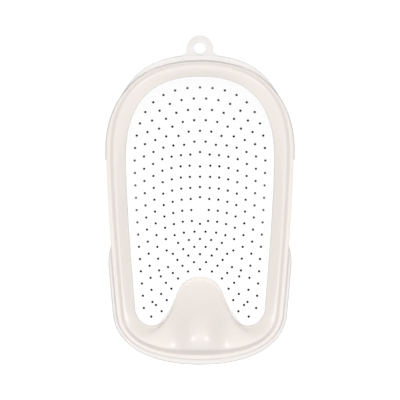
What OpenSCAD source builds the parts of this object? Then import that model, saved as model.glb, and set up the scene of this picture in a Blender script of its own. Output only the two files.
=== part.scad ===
// Reclined bath support for a baby: a stiff seat frame with a soft perforated panel,
// carried by a moulded base with a hanging tab, side windows and soft foot pads.
// The head end points along +Y, +X is to the right and the base rests on z = 0.

/* [Overall] */
// Whole length, from the foot end of the base to the tip of the hanging tab
length = 580; // [560:1:640]
// Full width of the seat rim at its widest
rim_width = 329; // [300:1:370]
// Height of the seat rim at the head end
rim_head_z = 216; // [195:1:245]
// Height of the seat rim at the foot end
rim_foot_z = 82; // [78:1:100]

/* [Seat frame] */
// Full width of the rim where the foot corners begin
rim_foot_width = 295; // [275:1:320]
// How far the widest place lies behind the head end of the rim
rim_shoulder = 156; // [145:1:168]
// How far the foot corners reach in from the foot end of the rim
rim_corner = 80; // [70:1:95]
// Width of the flat lip round the rim
lip_w = 7; // [6:0.5:8]
// Height of the turned-down edge of the lip
lip_drop = 5; // [4.5:0.5:6]
// Thickness of the moulded walls of the frame
frame_wall = 2.8; // [2:0.1:3.2]
// Height of the rounded roll above the lip
roll_h = 6.5; // [5:0.5:8]
// Distance of the crest of the roll from the rim's edge at the sides
crest_in = 14; // [12:0.5:15]
// Distance of the crest of the roll from the rim's edge at the head end
crest_in_head = 11; // [10:0.5:13]
// Extra height of the roll at the foot end
foot_rise = 7; // [4:0.5:10]
// Height of the pommel above the roll
pommel_h = 24; // [18:1:30]
// Half-width of the pommel
pommel_w = 38; // [34:1:42]
// How far the frame's inner edge stands above the soft panel
edge_step = 1.5; // [1:0.5:3]
// Width of the level lip at the pommel's nose
nose_lip = 8; // [4:0.5:11]
// Width of the ledge that carries the soft panel
ledge_w = 7; // [5:0.5:8]
// Thickness of that ledge
ledge_t = 2.8; // [2:0.1:3]

/* [Soft panel] */
// Full width of the soft panel at its widest
panel_width = 262; // [240:1:268]
// Full width of the panel where its two foot lobes begin
panel_foot_width = 232; // [226:1:238]
// Distance from the rim's head end to the panel's head end
head_band = 25.5; // [24:0.5:30]
// Distance from the rim's foot end to the tips of the panel's lobes
foot_band = 59.5; // [55:0.5:64]
// Depth of the notch for the pommel, from the lobe tips
notch_depth = 86.4; // [81:0.2:92]
// Radius of the seat's curve from head to foot
seat_radius = 527; // [515:1:540]
// Radius of the seat's curve from side to side
hollow_radius = 330; // [300:5:380]
// Height of the lowest place of the soft panel
seat_low_z = 55; // [50:1:58]
// Distance of the lowest place from the foot end of the base
seat_low_y = 144.5; // [138:0.5:150]
// Thickness of the soft panel
panel_t = 3; // [2.5:0.1:3.5]
// Thickness of the lip that grips the ledge from below
grip_t = 2; // [1.5:0.1:2.5]
// Radius of the drain holes
hole_r = 1.75; // [1.25:0.25:2]
// Distance between neighbouring rings of holes
ring_step = 16.1; // [16:0.1:19]
// Distance between neighbouring holes in the outermost ring
hole_pitch = 21.9; // [21:0.1:26]
// How much closer together the holes of each ring stand than those of the ring outside it
pitch_drop = 0.42; // [0:0.02:0.6]

/* [Base] */
// Width of the base's ledge outside the rim at the head end
head_ledge = 12; // [9:0.2:14]
// Width of that ledge at the sides
side_ledge = 2.4; // [1.6:0.2:4]
// Width of that ledge beside the foot corners
corner_ledge = 7.6; // [5:0.2:9]
// Width of that ledge at the foot end
foot_ledge = 11.5; // [9:0.5:14]
// Thickness of the moulded walls of the base
base_wall = 3; // [2.4:0.1:3.4]
// Width of the inward flange on the floor
floor_flange = 24; // [22:1:28]
// Height of the side rails below the windows
rail_h = 24; // [20:1:30]
// Rounding of the ledge's outer edge
ledge_round = 2.2; // [1.2:0.2:3]
// Width of the arch through the head wall
arch_w = 150; // [120:5:170]
// Height of the top of that arch
arch_top = 152; // [130:1:160]
// Rounding of the lower corners of that arch
arch_round = 24; // [10:1:30]
// Radius of the hanging tab
tab_r = 23.3; // [21:0.1:25]
// Radius of the hole in the hanging tab
tab_hole_r = 10; // [7:0.5:12]
// Thickness of the hanging tab
tab_t = 4; // [3:0.5:5]
// How far the tip of the tab reaches beyond the base
tab_reach = 33.6; // [30:0.1:36]
// How far the top of the tab lies below the ledge
tab_drop = 1; // [0.4:0.2:2]

/* [Fasteners and pads] */
// Radius of the screws' shafts
screw_r = 2; // [1.75:0.25:2]
// Radius of the screws' heads
screw_head_r = 4; // [3.5:0.5:4]
// Height of the screws' heads
screw_head_h = 2.4; // [2:0.2:3]
// Distance of the screws from the rim's edge
screw_in = 12.5; // [12:0.5:13.5]
// Radius of the foot pads
pad_r = 9; // [8:0.5:10]
// How far the foot pads stand below the base
pad_t = 2; // [1.5:0.5:3]
// Radius of the pads' stems
stem_r = 3; // [2.5:0.5:3.5]

/* [Fits] */
// Clearance between the seat frame and the base below its edge
rest_gap = 0.4; // [0.3:0.1:0.6]
// Clearance round the ledge inside the panel's groove
groove_gap = 0.2; // [0.2:0.05:0.3]
// Clearance between the panel's edge and the frame
panel_gap = 0.15; // [0.1:0.05:0.3]
// Clearance of the screws in the base
screw_gap = 0.2; // [0.1:0.05:0.4]
// Clearance of the screws in the frame's pilot holes
pilot_gap = 0.05; // [0.05:0.05:0.1]
// Clearance of the pads' stems in the floor flange
stem_gap = 0.1; // [0.05:0.05:0.2]

/* [Hidden] */

frame_colour = [0.90, 0.88, 0.86];
base_colour = [0.93, 0.91, 0.89];
panel_colour = [0.98, 0.98, 0.98];
pad_colour = [0.55, 0.55, 0.56];
steel_colour = [0.75, 0.76, 0.78];

// Places along the length
base_foot_y = -length / 2;
tab_y = length / 2 - tab_r;
rim_head_y = length / 2 - tab_reach - head_ledge;
rim_foot_y = base_foot_y + foot_ledge;
shoulder_y = rim_head_y - rim_shoulder;
corner_y = rim_foot_y + rim_corner;
panel_head_y = rim_head_y - head_band;
lobe_y = rim_foot_y + foot_band;
notch_y = lobe_y + notch_depth;

// The rim lies on a cylinder about the X direction, level at the foot end
rim_run = rim_head_y - rim_foot_y;
rim_lift = rim_head_z - rim_foot_z;
rim_radius = (rim_run * rim_run + rim_lift * rim_lift) / (2 * rim_lift);

// The seat is part of a torus about the X direction
seat_y = base_foot_y + seat_low_y;
seat_axis_z = seat_low_z + seat_radius;
seat_major = seat_radius - hollow_radius;

// ---- plain geometry ----

function clamp01(v) = min(1, max(0, v));
function smooth(v) = clamp01(v) * clamp01(v) * (3 - 2 * clamp01(v));
function unit(v) = v / norm(v);

// A cubic curve and its direction
function curve_at(p, t) =
    pow(1 - t, 3) * p[0] + 3 * pow(1 - t, 2) * t * p[1] + 3 * (1 - t) * t * t * p[2] + pow(t, 3) * p[3];
function curve_way(p, t) =
    unit(pow(1 - t, 2) * (p[1] - p[0]) + 2 * (1 - t) * t * (p[2] - p[1]) + t * t * (p[3] - p[2]));
// Outlines run down the right side from head to foot, so this points away from the seat
function curve_out(p, t) = let (d = curve_way(p, t)) [-d.y, d.x];

// ---- surfaces ----

function rim_z(y) =
    rim_foot_z + rim_radius - sqrt(pow(rim_radius, 2) - pow(max(y - rim_foot_y, 0), 2));

// Height of the soft panel's upper face, or of the face that lies `deep` below it
function seat_z(x, y, deep = 0) =
    seat_axis_z - sqrt(pow(seat_major + sqrt(pow(hollow_radius + deep, 2) - x * x), 2) - pow(y - seat_y, 2));

// The pommel is a long rise from the notch and a steep fall to the foot end
pommel_y = rim_foot_y + 42;
pommel_rise_run = 62;
pommel_fall_run = 34;
function pommel_z(x, y) =
    let (along = y > pommel_y ? (y - pommel_y) / pommel_rise_run : (pommel_y - y) / pommel_fall_run)
    pommel_h * exp(-pow(x / pommel_w, 2) * 1.2 - pow(along, 2));

// ---- outlines of the right half, as cubic curves from the head to the foot ----

rim_half = rim_width / 2;
rim_foot_half = rim_foot_width / 2;
rim_curves = [
    [[0, rim_head_y], [0.655 * rim_half, rim_head_y], [rim_half, shoulder_y + 92], [rim_half, shoulder_y]],
    [[rim_half, shoulder_y], [rim_half, shoulder_y - 88], [rim_foot_half + 5.5, corner_y + 53],
     [rim_foot_half, corner_y]],
    [[rim_foot_half, corner_y], [rim_foot_half - 6, corner_y - 58], [76, rim_foot_y], [0, rim_foot_y]]
];

panel_half = panel_width / 2;
panel_foot_half = panel_foot_width / 2;
lobe_x = 85.5;
neck = [lobe_x - 39.5, lobe_y + 41.3];
panel_shoulder_y = panel_head_y - 144;
lobe_start_y = lobe_y + 31;
panel_curves = [
    [[0, panel_head_y], [0.69 * panel_half, panel_head_y], [panel_half, panel_shoulder_y + 93],
     [panel_half, panel_shoulder_y]],
    [[panel_half, panel_shoulder_y], [panel_half, panel_shoulder_y - 80],
     [panel_foot_half + 6, lobe_start_y + 75], [panel_foot_half, lobe_start_y]],
    [[panel_foot_half, lobe_start_y], [panel_foot_half - 1.5, lobe_start_y - 18], [lobe_x + 15.5, lobe_y],
     [lobe_x, lobe_y]],
    [[lobe_x, lobe_y], [lobe_x - 28.6, lobe_y], [neck.x + 5.8, neck.y - 13.8], neck],
    [neck, [neck.x - 5.9, neck.y + 13.8], [neck.x - 12, notch_y], [0, notch_y]]
];

// Each station joins a place on the panel's edge to a place on the rim: [panel curve, t, rim curve, t]
steps = [14, 14, 5, 7, 9];
rim_share = [[0, 0, 1], [1, 0, 1], [2, 0, 0.33], [2, 0.33, 0.6], [2, 0.6, 1]];
stations = [
    for (s = [0:len(steps) - 1], i = [0:steps[s] - (s < len(steps) - 1 ? 1 : 0)])
        let (t = i / steps[s])
            [s, t, rim_share[s][0], rim_share[s][1] + t * (rim_share[s][2] - rim_share[s][1])]
];

function panel_at(s, out = 0) =
    curve_at(panel_curves[s[0]], s[1]) + out * curve_out(panel_curves[s[0]], s[1]);
function rim_at(s, out = 0) =
    curve_at(rim_curves[s[2]], s[3]) + out * curve_out(rim_curves[s[2]], s[3]);

// Width of the base's ledge outside the rim
function ledge_at(y) =
    side_ledge
    + (head_ledge - side_ledge) * smooth((y - shoulder_y - 0.60 * rim_shoulder) / (0.36 * rim_shoulder))
    + (corner_ledge - side_ledge) * smooth((shoulder_y - 158 - y) / 42)
    + (foot_ledge - corner_ledge) * pow(clamp01((rim_foot_y + 50 - y) / 50), 2);
function base_at(s, out = 0) = rim_at(s, out + ledge_at(rim_at(s).y));

// ---- solids swept round the seat ----

function mirrored(p) = len(p) == 3 ? [-p.x, p.y, p.z] : [-p.x, p.y];
// A closed plan outline from a right half that starts and ends on the middle line
function whole_outline(half) =
    concat(half, [for (i = [len(half) - 2:-1:1]) mirrored(half[i])]);

// Closed sections, one for each station of the right half, are mirrored and joined in a ring
module swept_ring(half_sections) {
    n_half = len(half_sections);
    around = concat(half_sections,
        [for (i = [n_half - 2:-1:1]) [for (p = half_sections[i]) mirrored(p)]]);
    n = len(around);
    m = len(around[0]);
    points = [for (section = around) each section];
    faces = [
        for (i = [0:n - 1], j = [0:m - 1])
            let (a = i * m + j, b = i * m + (j + 1) % m, c = ((i + 1) % n) * m + (j + 1) % m,
                 d = ((i + 1) % n) * m + j)
                each [[a, c, b], [a, d, c]]
    ];
    polyhedron(points, faces, convexity = 10);
}

// A vertical prism on the panel's outline, grown by `out`
module panel_prism(out) {
    linear_extrude(rim_head_z * 2)
        polygon(whole_outline([for (s = stations) panel_at(s, out)]));
}

// ---- seat frame ----

// How far a place belongs to the steep foot end, or to the head end, from 0 to 1
function foot_share(y) = smooth((rim_foot_y + 62 - y) / 50);
function head_share(y) = smooth((y - shoulder_y) / rim_shoulder);
function rise_at(y) = roll_h + foot_rise * foot_share(y);
// The level lip grows along the notch from the neck to the nose
function nose_share(s) = s[0] == 4 ? smooth(s[1]) : 0;

// Upper face of the frame at a station, from the edge of the lip to the edge of the panel
lip_round = 1.2;
mid_rows = 5;
inner_steps = [8, 4, 1.5, 0];
function frame_top(s) =
    let (
        y = rim_at(s).y,
        crest = crest_in + (crest_in_head - crest_in) * head_share(y),
        rise = rise_at(y),
        outer = [[0, -lip_round], [lip_round, 0], [lip_w - 1, 0], [lip_w, -0.4],
                 [lip_w + 0.3 * (crest - lip_w), 0.45 * rise], [lip_w + 0.6 * (crest - lip_w), 0.85 * rise],
                 [crest, rise]],
        outer_rows = [for (o = outer) let (p = rim_at(s, -o[0])) [p.x, p.y, rim_z(p.y) + o[1]]],
        top = outer_rows[len(outer_rows) - 1],
        edge = panel_at(s),
        low = seat_z(edge.x, edge.y) + edge_step,
        level = nose_lip * nose_share(s),
        near = panel_at(s, inner_steps[0]),
        gap = norm(near - [top.x, top.y]),
        run = gap + inner_steps[0] - level,
        mid_rows_here = [for (i = [1:mid_rows])
            let (p = [top.x, top.y] + (near - [top.x, top.y]) * i / (mid_rows + 1))
                [p.x, p.y, top.z - (top.z - low) * pow(gap * i / (mid_rows + 1) / run, 1.5)]],
        inner_rows = [for (e = inner_steps)
            let (p = panel_at(s, e), share = min(1, (run + level - e) / run))
                [p.x, p.y, top.z - (top.z - low) * pow(share, 1.5) - (e == 0 ? lip_round : 0)]]
    )
    [for (p = concat(outer_rows, mid_rows_here, inner_rows)) [p.x, p.y, p.z + pommel_z(p.x, p.y)]];

// A place `deep` below the upper face, square to it
function below(rows, i, deep = frame_wall) =
    let (
        a = rows[i - 1],
        b = rows[i + 1],
        flat = norm([b.x - a.x, b.y - a.y]),
        way = [b.x - a.x, b.y - a.y] / flat,
        slope = unit([flat, b.z - a.z])
    )
    [rows[i].x + deep * slope.y * way.x, rows[i].y + deep * slope.y * way.y, rows[i].z - deep * slope.x];

function ledge_point(s, out, deep) =
    let (p = panel_at(s, out)) [p.x, p.y, seat_z(p.x, p.y, deep)];

function frame_section(s) =
    let (
        rows = frame_top(s),
        n = len(rows),
        edge_low = rim_at(s),
        skirt_in = rim_at(s, -frame_wall),
        ledge_top = panel_t + groove_gap,
        ledge_low = ledge_top + ledge_t
    )
    concat(
        [[edge_low.x, edge_low.y, rim_z(edge_low.y) - lip_drop]],
        rows,
        [ledge_point(s, 0, ledge_top), ledge_point(s, -ledge_w, ledge_top),
         ledge_point(s, -ledge_w, ledge_low), ledge_point(s, frame_wall, ledge_low)],
        [for (i = [n - 4:-2:6]) below(rows, i)],
        [below(rows, 4)],
        [[skirt_in.x, skirt_in.y, rim_z(edge_low.y) - frame_wall],
         [skirt_in.x, skirt_in.y, rim_z(edge_low.y) - lip_drop]]
    );

// ---- screws and their bosses ----

// [curve of the rim, place along it]
head_spots = [[0, 0.20]];
shoulder_spots = [[1, 0.00]];
side_spots = [[1, 0.65]];
foot_spots = [[2, 0.70]];
all_spots = concat(head_spots, shoulder_spots, side_spots, foot_spots);

boss_r = 5;
boss_h = 9;
socket_r = 4.2;
pilot_depth = 5.5;
// Height of the screwed joint above the frame's lower edge
joint_rise = 2.4;
function spot_xy(spot) = rim_at([0, 0, spot[0], spot[1]], -screw_in);
// Height of the joint face between the base's boss and the frame's socket
function spot_z(spot) = rim_z(spot_xy(spot).y) - lip_drop + joint_rise;

module at_spots(spots) {
    for (spot = spots, side = [-1, 1]) {
        p = spot_xy(spot);
        translate([side * p.x, p.y, spot_z(spot)])
            children();
    }
}

// The space under the middle of the frame's wall, where the sockets may stand
module frame_core() {
    depth = 40;
    swept_ring([
        for (s = stations)
            let (rows = frame_top(s),
                 roof = [for (i = [2:len(rows) - 4]) below(rows, i, frame_wall / 2)],
                 first = roof[0],
                 last = roof[len(roof) - 1])
                concat([[first.x, first.y, last.z - depth]], roof, [[last.x, last.y, last.z - depth]])
    ]);
}

module frame_sockets() {
    intersection() {
        at_spots(all_spots)
            cylinder(h = 40, r = socket_r, $fn = 48);
        frame_core();
    }
}

module screws(spots) {
    at_spots(spots) {
        translate([0, 0, -boss_h])
            cylinder(h = boss_h + pilot_depth - 0.5, r = screw_r - pilot_gap, $fn = 32);
        translate([0, 0, -boss_h - screw_head_h])
            cylinder(h = screw_head_h, r = screw_head_r, $fn = 48);
    }
}

module seat_frame() {
    color(frame_colour)
        difference() {
            union() {
                swept_ring([for (s = stations) frame_section(s)]);
                frame_sockets();
            }
            at_spots(all_spots)
                translate([0, 0, -1])
                    cylinder(h = pilot_depth + 1, r = screw_r, $fn = 32);
        }
}

// ---- soft panel ----

// A circle that starts on its far side, clear of the sheet cut from it
module hollow_circle(r) {
    translate([seat_major, 0])
        rotate(180)
            circle(r = r, $fn = 720);
}

// The part of the seat's torus between two depths below its upper face
module seat_sheet(deep_top, deep_low) {
    from_angle = -24;
    to_angle = 72;
    translate([0, seat_y, seat_axis_z])
        rotate([0, 90, 0])
            rotate([0, 0, from_angle])
                rotate_extrude(angle = to_angle - from_angle, $fn = 720)
                    intersection() {
                        difference() {
                            hollow_circle(hollow_radius + deep_low);
                            hollow_circle(hollow_radius + deep_top);
                        }
                        translate([seat_major + 0.8 * hollow_radius, -0.6 * panel_width])
                            square([hollow_radius, 1.2 * panel_width]);
                    }
}

// Rings of holes follow the panel's edge, each a step further in.
// A ring's place is dropped where another part of the edge is nearer.
head_stretch = 1.15;
notch_squeeze = 0.84;
function ring_weight(s) =
    s[0] < 2 ? 1 + (head_stretch - 1) * max(0, curve_out(panel_curves[s[0]], s[1]).y)
    : s[0] == 2 ? 1
    : s[0] == 3 ? 1 + (notch_squeeze - 1) * s[1]
    : notch_squeeze;
ring_stations = [
    for (c = [0:len(steps) - 1], i = [0:3 * steps[c] - (c < len(steps) - 1 ? 1 : 0)]) [c, i / (3 * steps[c])]
];
edge_places = [
    for (s = ring_stations, side = [-1, 1])
        let (p = panel_at(s)) [side * p.x, p.y, ring_weight(s)]
];
function is_clear(p, inset) =
    min([for (e = edge_places) norm([p.x - e.x, p.y - e.y]) - inset * e[2]]) > -0.9;
function ring_line(inset) = [
    for (s = ring_stations)
        let (p = panel_at(s, -inset * ring_weight(s)))
            if (p.x > -0.01 && is_clear(p, inset)) p
];
// Running length along a line of points
function run_lengths(line) =
    [for (i = 0, run = 0; i < len(line);
          run = run + (i + 1 < len(line) ? norm(line[i + 1] - line[i]) : 0), i = i + 1) run];
function ring_holes(index) =
    let (
        line = ring_line(index * ring_step),
        runs = run_lengths(line),
        x_of = [for (i = [0:len(line) - 1]) [runs[i], line[i].x]],
        y_of = [for (i = [0:len(line) - 1]) [runs[i], line[i].y]],
        reach = runs[len(runs) - 1],
        count = max(1, round(reach / (hole_pitch - (index - 1) * pitch_drop))),
        shift = index % 2 == 0 ? 0.5 : 0
    )
    [for (i = [0:count - (index % 2 == 0 ? 1 : 0)])
        let (run = (i + shift) * reach / count) [lookup(run, x_of), lookup(run, y_of)]];
ring_count = floor(panel_half / ring_step);
hole_places = [for (index = [1:ring_count]) each ring_holes(index)];
// A hole closer than this to the middle line is its own mirror image
middle_x = 2.5;

module drain_holes() {
    for (p = hole_places) {
        if (p.x < middle_x)
            translate([0, p.y, 1])
                cylinder(h = rim_head_z, r = hole_r, $fn = 16);
        else
            for (side = [-1, 1])
                translate([side * p.x, p.y, 1])
                    cylinder(h = rim_head_z, r = hole_r, $fn = 16);
    }
}

// The panel's edge is moulded round the frame's ledge
groove_t = ledge_t + 2 * groove_gap;
groove_w = ledge_w + 0.4;
module panel_blank() {
    difference() {
        intersection() {
            seat_sheet(0, panel_t + groove_t + grip_t);
            panel_prism(-panel_gap);
        }
        difference() {
            intersection() {
                seat_sheet(panel_t, panel_t + groove_t);
                panel_prism(1);
            }
            panel_prism(-groove_w);
        }
        intersection() {
            seat_sheet(panel_t, 4 * panel_t + groove_t);
            panel_prism(-groove_w - grip_t);
        }
    }
}

module soft_panel() {
    color(panel_colour)
        difference() {
            panel_blank();
            drain_holes();
        }
}

// ---- base ----

flange_t = 3;
function base_section(s) =
    let (
        rim = rim_at(s),
        ledge = ledge_at(rim.y),
        top_z = rim_z(rim.y) - lip_drop - rest_gap,
        low_z = pad_t,
        // The ledge is level and ends in a quarter round above the wall
        round_here = min(ledge_round, 0.9 * ledge),
        outer_round = [for (a = [0:22.5:90])
            let (p = rim_at(s, ledge - round_here * (1 - cos(a))))
                [p.x, p.y, top_z - round_here * (1 - sin(a))]],
        under = rim_at(s, min(0, ledge - base_wall - 0.5)),
        shelf = rim_at(s, -screw_in - boss_r),
        shelf_z = rim_z(shelf.y) - lip_drop - rest_gap,
        wall_foot = base_at(s),
        wall_in = base_at(s, -base_wall),
        flange_in = base_at(s, -floor_flange)
    )
    concat(
        [[wall_foot.x, wall_foot.y, low_z]],
        outer_round,
        [[rim.x, rim.y, top_z], [shelf.x, shelf.y, shelf_z], [shelf.x, shelf.y, shelf_z - base_wall],
         [under.x, under.y, top_z - base_wall], [wall_in.x, wall_in.y, top_z - base_wall],
         [wall_in.x, wall_in.y, low_z + flange_t], [flange_in.x, flange_in.y, low_z + flange_t],
         [flange_in.x, flange_in.y, low_z]]
    );

// Corners of an outline in a plane, each rounded off over its own distance
function rounded(points, reach) = [
    for (i = [0:len(points) - 1])
        let (p = points[i],
             a = p + reach[i] * unit(points[(i + len(points) - 1) % len(points)] - p),
             b = p + reach[i] * unit(points[(i + 1) % len(points)] - p))
            each (reach[i] == 0 ? [p]
                : [for (k = [0:6]) let (t = k / 6) pow(1 - t, 2) * a + 2 * t * (1 - t) * p + t * t * b])
];

window_front_y = shoulder_y - 150;
window_back_y = shoulder_y - 29;
module side_windows() {
    low = [[window_front_y - 34, rail_h], [window_back_y + 30, rail_h]];
    high = [[window_back_y, rim_head_z + 40], [window_front_y, rim_head_z + 40]];
    translate([-rim_width, 0, 0])
        rotate([90, 0, 90])
            linear_extrude(2 * rim_width)
                polygon(rounded([low[0], low[1], high[0], high[1]], [34, 40, 0, 0]));
}

module head_arch() {
    spring_z = arch_top - arch_w / 2;
    arc = [for (a = [0:7.5:180]) [arch_w / 2 * cos(a), spring_z + arch_w / 2 * sin(a)]];
    corners = [[-arch_w / 2, rail_h], [arch_w / 2, rail_h]];
    translate([0, length, 0])
        rotate([90, 0, 0])
            linear_extrude(length - shoulder_y - 60)
                polygon(rounded(concat(corners, arc), [arch_round, arch_round, for (p = arc) 0]));
}

tab_top_z = rim_head_z - lip_drop - rest_gap - tab_drop;
tab_fillet = 6;
module hanging_tab() {
    neck_h = tab_y - rim_head_y - 2;
    corner = tab_y - rim_head_y - head_ledge + 0.6;
    translate([0, tab_y, tab_top_z - tab_t])
        linear_extrude(tab_t)
            union() {
                circle(r = tab_r, $fn = 96);
                translate([-tab_r, -neck_h])
                    square([2 * tab_r, neck_h]);
                for (side = [-1, 1])
                    difference() {
                        translate([side * (tab_r + tab_fillet / 2), -corner + tab_fillet / 2 - 2])
                            square([tab_fillet, tab_fillet + 4], center = true);
                        translate([side * (tab_r + tab_fillet), -corner + tab_fillet])
                            circle(r = tab_fillet, $fn = 48);
                    }
            }
}

// Feet sit in the floor flange: [curve of the rim, place along it]
front_pad = [2, 0.30];
rear_pad = [0, 0.52];
function pad_xy(spot) =
    base_at([0, 0, spot[0], spot[1]], -(floor_flange + base_wall) / 2);
module at_pad(spot, side) {
    p = pad_xy(spot);
    translate([side * p.x, p.y, 0])
        children();
}

module base_shell() {
    color(base_colour)
        difference() {
            union() {
                difference() {
                    swept_ring([for (s = stations) base_section(s)]);
                    side_windows();
                    head_arch();
                }
                hanging_tab();
                at_spots(all_spots)
                    translate([0, 0, -boss_h])
                        cylinder(h = boss_h, r = boss_r, $fn = 48);
            }
            at_spots(all_spots)
                translate([0, 0, -boss_h - 1])
                    cylinder(h = boss_h + 2, r = screw_r + screw_gap, $fn = 32);
            for (spot = [front_pad, rear_pad], side = [-1, 1])
                at_pad(spot, side)
                    cylinder(h = pad_t + 2 * flange_t, r = stem_r + stem_gap, $fn = 48);
            translate([0, tab_y, tab_top_z - 2 * tab_t])
                cylinder(h = 3 * tab_t, r = tab_hole_r, $fn = 96);
        }
}

// ---- foot pads ----

// A soft disc on a stem that snaps through the floor flange
module foot_pad(spot, side) {
    button_h = 1.8;
    color(pad_colour)
        at_pad(spot, side)
            rotate_extrude($fn = 96)
                polygon([[0, 0], [pad_r - 1, 0], [pad_r, 0.8], [pad_r, pad_t], [stem_r, pad_t],
                         [stem_r, pad_t + flange_t], [stem_r + 1.2, pad_t + flange_t],
                         [stem_r, pad_t + flange_t + button_h], [0, pad_t + flange_t + button_h]]);
}

module head_screws() {
    color(steel_colour)
        screws(head_spots);
}

module shoulder_screws() {
    color(steel_colour)
        screws(shoulder_spots);
}

module side_screws() {
    color(steel_colour)
        screws(side_spots);
}

module foot_screws() {
    color(steel_colour)
        screws(foot_spots);
}

seat_frame();
soft_panel();
base_shell();
foot_pad(front_pad, -1);  // front_left_foot_pad
foot_pad(front_pad, 1);  // front_right_foot_pad
foot_pad(rear_pad, -1);  // rear_left_foot_pad
foot_pad(rear_pad, 1);  // rear_right_foot_pad
head_screws();
shoulder_screws();
side_screws();
foot_screws();
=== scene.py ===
import math

import bmesh
import bpy
import numpy as np
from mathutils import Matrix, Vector
from mathutils.geometry import delaunay_2d_cdt


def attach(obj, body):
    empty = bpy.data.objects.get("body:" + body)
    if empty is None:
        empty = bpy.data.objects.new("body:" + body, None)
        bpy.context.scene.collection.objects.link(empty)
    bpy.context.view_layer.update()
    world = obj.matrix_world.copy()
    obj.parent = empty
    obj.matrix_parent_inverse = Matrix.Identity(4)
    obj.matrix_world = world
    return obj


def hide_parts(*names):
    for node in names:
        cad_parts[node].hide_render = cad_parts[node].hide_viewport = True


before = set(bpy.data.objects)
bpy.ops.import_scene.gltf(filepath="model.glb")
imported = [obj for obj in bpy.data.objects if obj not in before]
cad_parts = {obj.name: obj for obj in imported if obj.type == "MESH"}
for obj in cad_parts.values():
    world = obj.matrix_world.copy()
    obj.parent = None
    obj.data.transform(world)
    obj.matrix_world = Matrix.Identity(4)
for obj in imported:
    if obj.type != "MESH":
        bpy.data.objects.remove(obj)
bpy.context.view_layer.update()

MM = 0.001

# -------- sizes, in millimetres

# Overall
LENGTH = 580.0
RIM_WIDTH = 329.0
RIM_HEAD_Z = 216.0
RIM_FOOT_Z = 82.0
RIM_FOOT_WIDTH = 295.0
RIM_SHOULDER = 156.0
RIM_CORNER = 80.0

# Lip and roll of the seat frame, with the trough in front of the pommel
FRAME_WALL = 2.8
FRAME_BREAK = 0.4
LIP_DROP = 5.0
LIP_ROUND = 1.4
LIP_CROWN = 0.25
LIP_SIDE = 5.4
LIP_HEAD = 1.6
LIP_NOSE_MORE = 1.6
ROLL_H = 6.5
CREST_IN = 14.0
CREST_IN_HEAD = 11.0
CREST_NOSE_MORE = 5.5
FOOT_RISE = 7.0
FOOT_RISE_IN = 62.0
FOOT_RISE_RUN = 50.0
TROUGH = 3.4
NOSE_HALF = 58.0

# Pommel, and the slope from the roll down to the panel
POMMEL_H = 24.0
POMMEL_W = 38.0
POMMEL_IN = 45.5
POMMEL_BACK = 56.0
POMMEL_FRONT = 36.0
POMMEL_NARROW = 1.2
POMMEL_FLAT = 2.6
SLOPE_BEND = 1.5
SLOPE_BEND_NOSE = 0.2
EDGE_STEP = 1.5
EDGE_ROUND = 0.8
EDGE_RUN = 3.5
EDGE_RUN_NOSE = 4.5
NOSE_LIP = 8.0
LEDGE_W = 7.0
LEDGE_T = 2.8

# Screw sockets under the frame
SOCKET_R = 4.2
SOCKET_H = 40.0
PILOT_DEPTH = 5.5
JOINT_RISE = 2.4

# Soft panel
PANEL_WIDTH = 262.0
PANEL_FOOT_WIDTH = 232.0
HEAD_BAND = 25.5
FOOT_BAND = 59.5
NOTCH_DEPTH = 86.4
LOBE_X = 85.5
SEAT_RADIUS = 527.0
HOLLOW_RADIUS = 330.0
SEAT_LOW_Z = 55.0
SEAT_LOW_Y = 144.5
PANEL_T = 3.0
PANEL_GAP = 0.15
GRIP_T = 2.0
GRIP_BREAK = 0.8
GRIP_CORNER = 0.25
GROOVE_GAP = 0.2
GROOVE_END_GAP = 0.4

# Drain holes: rings that follow the panel's edge, wider apart at the head and closer at the notch
HOLE_R = 2.15
RING_STEP = 16.1
RING_CLEAR = 0.9
HOLE_PITCH = 21.9
PITCH_DROP = 0.42
MIDDLE_HALF = 2.5
HEAD_STRETCH = 1.15
NOTCH_SQUEEZE = 0.84

# Ledge of the base outside the rim
HEAD_LEDGE = 12.0
HEAD_LEDGE_FROM = 0.60
HEAD_LEDGE_RUN = 0.36
SIDE_LEDGE = 2.4
CORNER_LEDGE = 7.6
CORNER_LEDGE_BACK = 158.0
CORNER_LEDGE_RUN = 42.0
FOOT_LEDGE = 11.5
FOOT_LEDGE_SHOWN = 10.4
FOOT_LEDGE_RUN = 50.0
LEDGE_ROUND = 3.4
LEDGE_ROUND_HEAD = 1.6
LEDGE_ROUND_DEEP = 1.8
LEDGE_ROUND_MOST = 0.9

# Shadow groove beside the frame's edge at the head, deeper at its corners and faint elsewhere
SHADOW_W = 1.8
SHADOW_W_LEFT = 0.05
SHADOW_MOST = 0.4
SHADOW_DEEP = 2.0
SHADOW_DEEP_LEFT = 0.03
SHADOW_FLOOR = 1.4
SHADOW_SLANT = 0.1
SHADOW_IN = 0.06
HEAD_CORNER_IN = 22.0
HEAD_CORNER_RUN = 20.0
CORNER_W = 1.0
CORNER_DEEP = 2.6
CORNER_FALL = 2.3

# Walls, windows and arch of the base
BASE_WALL = 3.0
BASE_BREAK = 0.5
WALL_FOOT = 1.0
WALL_FOOT_MID = 0.3
ROOF_IN = 1.2
ROOF_ROUND = 1.0
FLOOR_FLANGE = 24.0
FLANGE_T = 3.0
FLANGE_ROUND = 1.5
RAIL_H = 24.0
WINDOW_FRONT = 150.0
WINDOW_BACK = 29.0
WINDOW_FRONT_SLANT = 34.0
WINDOW_BACK_SLANT = 30.0
WINDOW_ROUND = (34.0, 40.0)
CUT_ABOVE = 40.0
ARCH_W = 150.0
ARCH_TOP = 152.0
ARCH_ROUND = 24.0
ARCH_START = 60.0

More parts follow.
